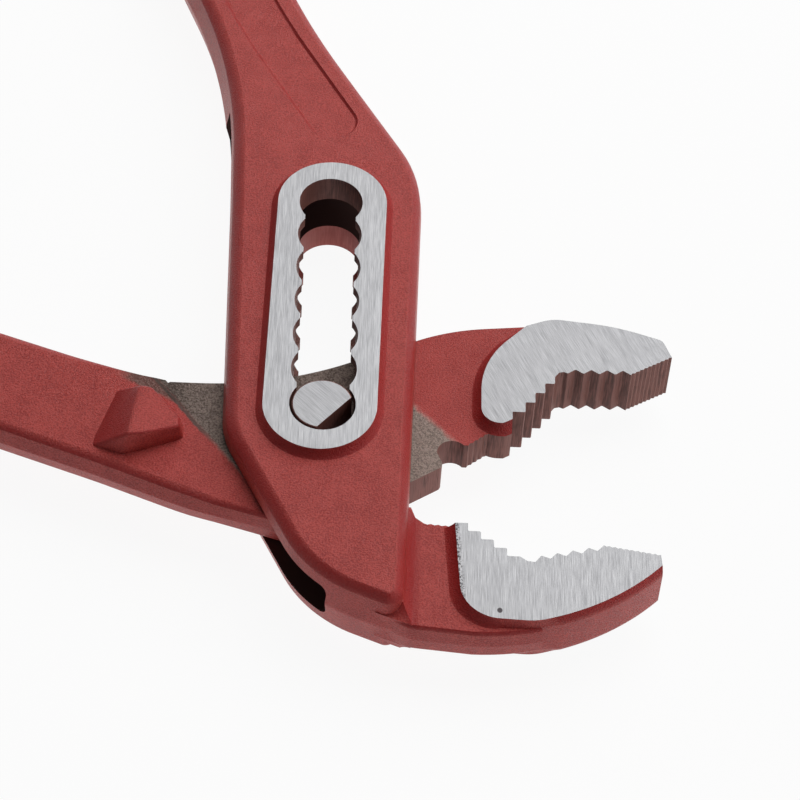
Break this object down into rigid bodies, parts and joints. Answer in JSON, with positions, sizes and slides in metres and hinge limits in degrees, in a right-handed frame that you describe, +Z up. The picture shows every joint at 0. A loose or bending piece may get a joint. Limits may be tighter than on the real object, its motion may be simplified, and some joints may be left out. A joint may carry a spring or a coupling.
{
  "type": "water pump pliers",
  "caption": "Box-joint water pump pliers: two coated forged legs on a flat-sided pivot pin in a scalloped slot, with ground toothed jaws set at an angle to the handles.",
  "frame": {"origin": "on the pivot axis, at the underside of the pin, which is flush with the boss that the pliers rest on", "axes": "+X towards the jaws, +Y along the slot towards the box leg's handle, +Z up through the thickness"},
  "size_m": [0.2473, 0.2335, 0.0142],
  "materials": {
    "box_leg": "rough red powder coat, with boss and jaw pad ground bright",
    "inner_leg": "rough red powder coat, with a bare blasted neck and a jaw pad ground bright",
    "pivot_pin": "ground flush with the boss"
  },
  "bodies": {
    "box": {"box_leg": "box_leg"},
    "pin": {"pivot_pin": "pivot_pin"},
    "inner": {"inner_leg": "inner_leg"}
  },
  "joints": [
    {"name": "slot_slide", "type": "slide", "parent": "box", "child": "pin", "axis": [0, 1, 0], "range_m": [0, 0.03702]},
    {"name": "pivot_hinge", "type": "hinge", "parent": "pin", "child": "inner", "pos_m": [0, 0, 0.0071], "axis": [0, 0, 1], "range_deg": [-34.5, 29]}
  ]
}
